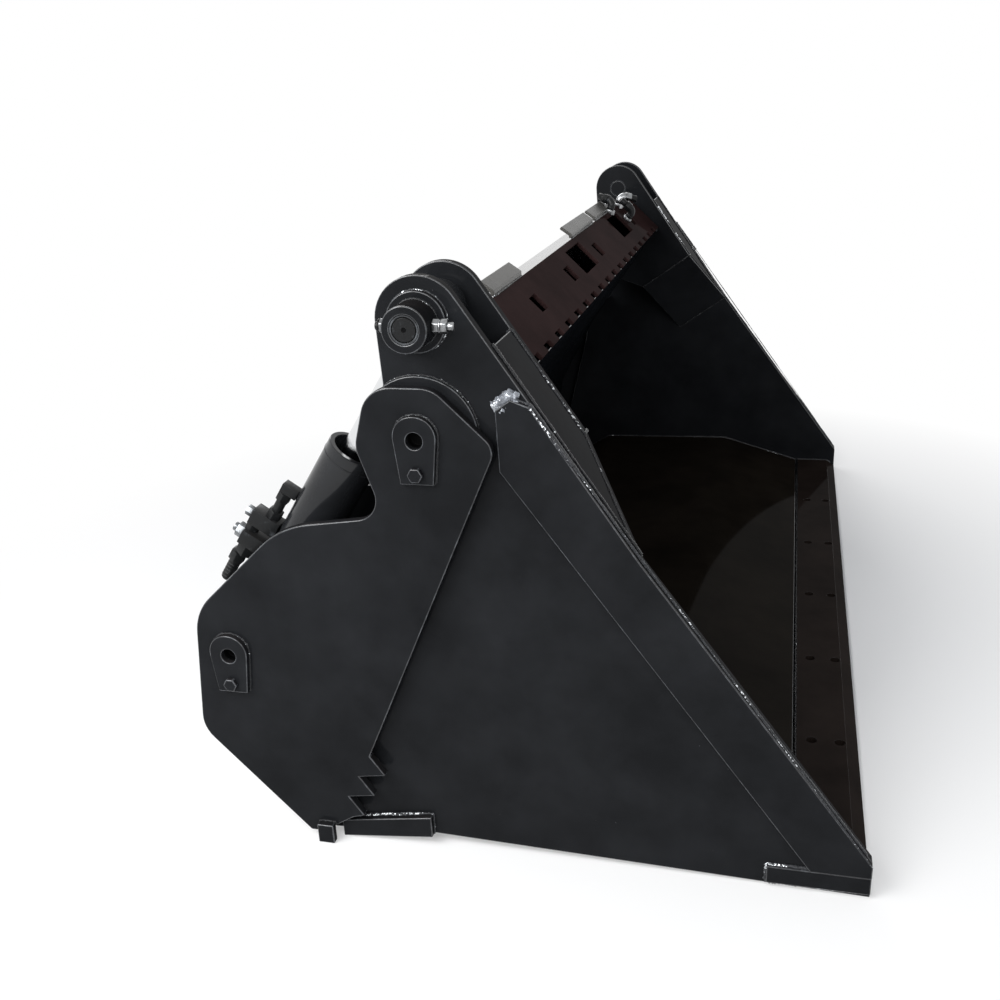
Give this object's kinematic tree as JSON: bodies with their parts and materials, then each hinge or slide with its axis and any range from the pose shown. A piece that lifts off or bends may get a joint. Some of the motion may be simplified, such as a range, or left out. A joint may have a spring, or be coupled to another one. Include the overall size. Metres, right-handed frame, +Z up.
{
  "type": "four-in-one loader bucket",
  "caption": "Clamshell loader bucket whose front half opens on side pins by two hydraulic cylinders, for digging, grading, grabbing and dozing.",
  "frame": {"origin": "on the ground under the middle of the bucket, at the bottom centre of its bounding box", "axes": "+X forward to the cutting edge, +Y to the bucket's left, +Z up with the bucket resting on its cutting edge and heel blocks"},
  "size_m": [0.985, 1.94, 0.862],
  "materials": {
    "black_paint": "gloss",
    "edge_paint": "satin",
    "chrome_rod": "polished",
    "pin_steel": "machined",
    "plated_bolt": "satin",
    "plated_tube": "satin"
  },
  "bodies": {
    "clam": {"arm_plate_left": "black_paint", "arm_plate_right": "black_paint", "arm_tapers": "black_paint", "arm_webs": "black_paint", "clam_side_plate_left": "black_paint", "clam_side_plate_right": "black_paint", "collar_bolts": "plated_bolt", "corner_patches": "black_paint", "cutting_edge": "edge_paint", "edge_strip_left": "black_paint", "edge_strip_right": "black_paint", "floor_plate": "black_paint", "heel_bars": "black_paint", "pin_collars": "black_paint", "pin_discs": "black_paint", "pivot_discs": "black_paint", "pivot_hubs": "black_paint", "rod_pins": "pin_steel", "sole_plate": "black_paint"},
    "barrel_left": {"barrel_left": "black_paint", "gland_left": "black_paint", "transfer_tube_left": "plated_tube"},
    "barrel_right": {"barrel_right": "black_paint", "gland_right": "black_paint", "transfer_tube_right": "plated_tube"},
    "rear_body": {"base_pins": "pin_steel", "belly_plate": "black_paint", "blade": "black_paint", "blade_edge": "edge_paint", "coupler_hook": "black_paint", "coupler_ledge": "black_paint", "coupler_plate": "black_paint", "heel_blocks": "black_paint", "heel_closures": "black_paint", "hose_fittings": "plated_tube", "inner_web_left": "black_paint", "inner_web_right": "black_paint", "keeper_bolts": "plated_bolt", "pin_keepers": "black_paint", "pivot_pins": "pin_steel", "rear_ribs": "black_paint", "rear_side_plate_left": "black_paint", "rear_side_plate_right": "black_paint", "top_cover": "black_paint", "top_lips": "black_paint", "torque_box": "black_paint"},
    "rod_left": {"piston_left": "black_paint", "piston_rod_left": "chrome_rod"},
    "rod_right": {"piston_right": "black_paint", "piston_rod_right": "chrome_rod"}
  },
  "joints": [
    {"name": "clam_hinge", "type": "hinge", "parent": "rear_body", "child": "clam", "pos_m": [-0.1145, 0, 0.654], "axis": [0, -1, 0], "range_deg": [0, 55]},
    {"name": "barrel_hinge_right", "type": "hinge", "parent": "rear_body", "child": "barrel_right", "pos_m": [-0.4275, -0.851, 0.312], "axis": [0, -1, 0], "range_deg": [0, 10]},
    {"name": "rod_hinge_right", "type": "hinge", "parent": "clam", "child": "rod_right", "pos_m": [-0.1085, -0.851, 0.804], "axis": [0, -1, 0], "range_deg": [-46, 0]},
    {"name": "barrel_hinge_left", "type": "hinge", "parent": "rear_body", "child": "barrel_left", "pos_m": [-0.4275, 0.851, 0.312], "axis": [0, -1, 0], "range_deg": [0, 10]},
    {"name": "rod_hinge_left", "type": "hinge", "parent": "clam", "child": "rod_left", "pos_m": [-0.1085, 0.851, 0.804], "axis": [0, -1, 0], "range_deg": [-46, 0]}
  ],
  "couplings": [
    {"joint": "barrel_hinge_right", "follows": "clam_hinge", "ratio": 0.1745},
    {"joint": "rod_hinge_right", "follows": "clam_hinge", "ratio": -0.8255},
    {"joint": "barrel_hinge_left", "follows": "clam_hinge", "ratio": 0.1745},
    {"joint": "rod_hinge_left", "follows": "clam_hinge", "ratio": -0.8255}
  ]
}
